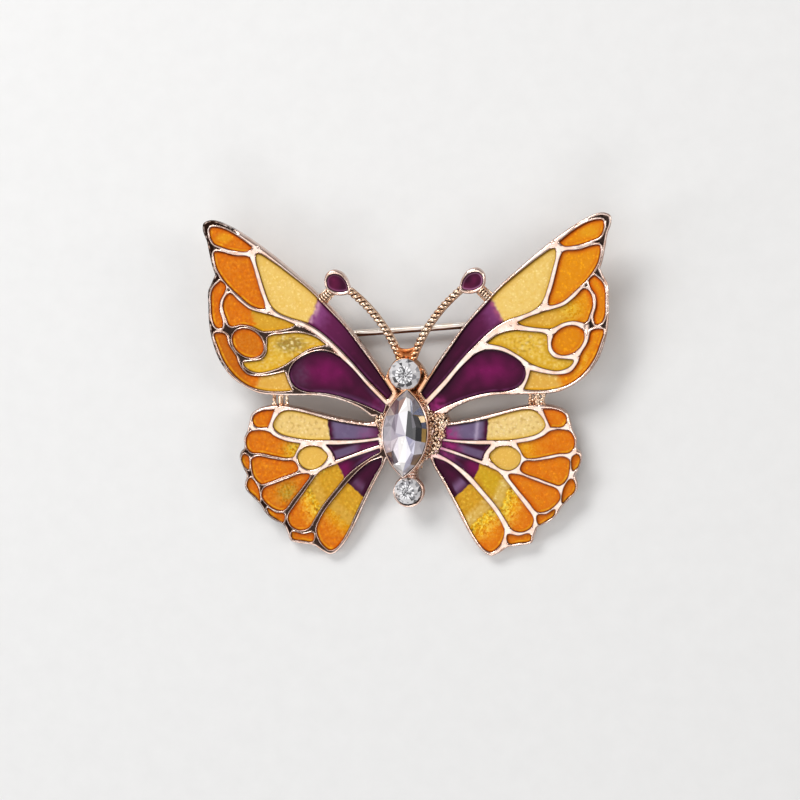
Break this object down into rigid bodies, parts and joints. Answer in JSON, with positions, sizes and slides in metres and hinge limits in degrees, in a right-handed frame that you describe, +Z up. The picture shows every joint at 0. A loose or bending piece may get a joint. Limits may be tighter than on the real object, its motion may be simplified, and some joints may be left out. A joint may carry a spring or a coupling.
{
  "type": "brooch",
  "caption": "Butterfly brooch with enamelled wing cells, faceted crystals along the body, looped antennae and a hinged pin closed by a safety catch.",
  "frame": {"origin": "middle of the bounding box in X and Y, on the table the brooch rests on", "axes": "+X towards the wing tips on the viewer's right, +Y from the tail towards the head, +Z up, away from the table; the wing plane leans back 8.6 degrees about X, as the brooch lies on its hinge and hindwing tips"},
  "size_m": [0.0466, 0.0388, 0.0072],
  "materials": {
    "rose_gold": "polished rose-gold plating over cast white metal",
    "orange_enamel": "translucent orange enamel over a hammered ground",
    "yellow_enamel": "translucent golden yellow enamel over a hammered ground",
    "purple_enamel": "deep purple enamel with a smooth high gloss",
    "crystal": "clear faceted crystal, foiled on the back"
  },
  "bodies": {
    "brooch": {"casting": "rose_gold", "head_crystal": "crystal", "body_crystal": "crystal", "tail_crystal": "crystal", "hinge_bracket": "rose_gold", "hinge_rivet": "rose_gold", "catch_housing": "rose_gold", "right_fore_tip_enamel": "orange_enamel", "right_fore_upper_outer_enamel": "orange_enamel", "right_fore_leading_yellow_enamel": "yellow_enamel", "right_fore_leading_purple_enamel": "purple_enamel", "right_fore_edge_crescent_enamel": "orange_enamel", "right_fore_flame_enamel": "orange_enamel", "right_fore_swirl_enamel": "yellow_enamel", "right_fore_lower_band_enamel": "orange_enamel", "right_fore_teardrop_enamel": "purple_enamel", "left_fore_tip_enamel": "orange_enamel", "left_fore_upper_outer_enamel": "orange_enamel", "left_fore_leading_yellow_enamel": "yellow_enamel", "left_fore_leading_purple_enamel": "purple_enamel", "left_fore_edge_crescent_enamel": "orange_enamel", "left_fore_flame_enamel": "orange_enamel", "left_fore_swirl_enamel": "yellow_enamel", "left_fore_lower_band_enamel": "orange_enamel", "left_fore_teardrop_enamel": "purple_enamel", "right_hind_top_corner_enamel": "orange_enamel", "right_hind_top_yellow_enamel": "yellow_enamel", "right_hind_top_purple_enamel": "purple_enamel", "right_hind_circle_enamel": "yellow_enamel", "right_hind_wedge_enamel": "purple_enamel", "right_hind_outer_1_enamel": "orange_enamel", "right_hind_outer_2_enamel": "orange_enamel", "right_hind_outer_3_enamel": "orange_enamel", "right_hind_long_1_enamel": "orange_enamel", "right_hind_long_1_purple_enamel": "purple_enamel", "right_hind_long_2_enamel": "orange_enamel", "right_hind_long_2_purple_enamel": "purple_enamel", "left_hind_top_corner_enamel": "orange_enamel", "left_hind_top_yellow_enamel": "yellow_enamel", "left_hind_top_purple_enamel": "purple_enamel", "left_hind_circle_enamel": "yellow_enamel", "left_hind_wedge_enamel": "purple_enamel", "left_hind_outer_1_enamel": "orange_enamel", "left_hind_outer_2_enamel": "orange_enamel", "left_hind_outer_3_enamel": "orange_enamel", "left_hind_long_1_enamel": "orange_enamel", "left_hind_long_1_purple_enamel": "purple_enamel", "left_hind_long_2_enamel": "orange_enamel", "left_hind_long_2_purple_enamel": "purple_enamel", "right_fore_eye_enamel": "orange_enamel", "right_hind_edge_chips_enamel": "orange_enamel", "right_antenna_enamel": "purple_enamel", "left_fore_eye_enamel": "orange_enamel", "left_hind_edge_chips_enamel": "orange_enamel", "left_antenna_enamel": "purple_enamel"},
    "pin": {"pin_stem": "rose_gold"},
    "roller": {"safety_roller": "rose_gold"}
  },
  "joints": [
    {"name": "pin_hinge", "type": "hinge", "parent": "brooch", "child": "pin", "pos_m": [-0.0125, 0.00607, 0.0013], "axis": [-0.0628, 0.9868, 0.1492], "range_deg": [0, 80]},
    {"name": "roller_turn", "type": "hinge", "parent": "brooch", "child": "roller", "pos_m": [0.01285, 0.00764, 0.00154], "axis": [0.998, 0.0621, 0.0094], "range_deg": [0, 100]}
  ]
}
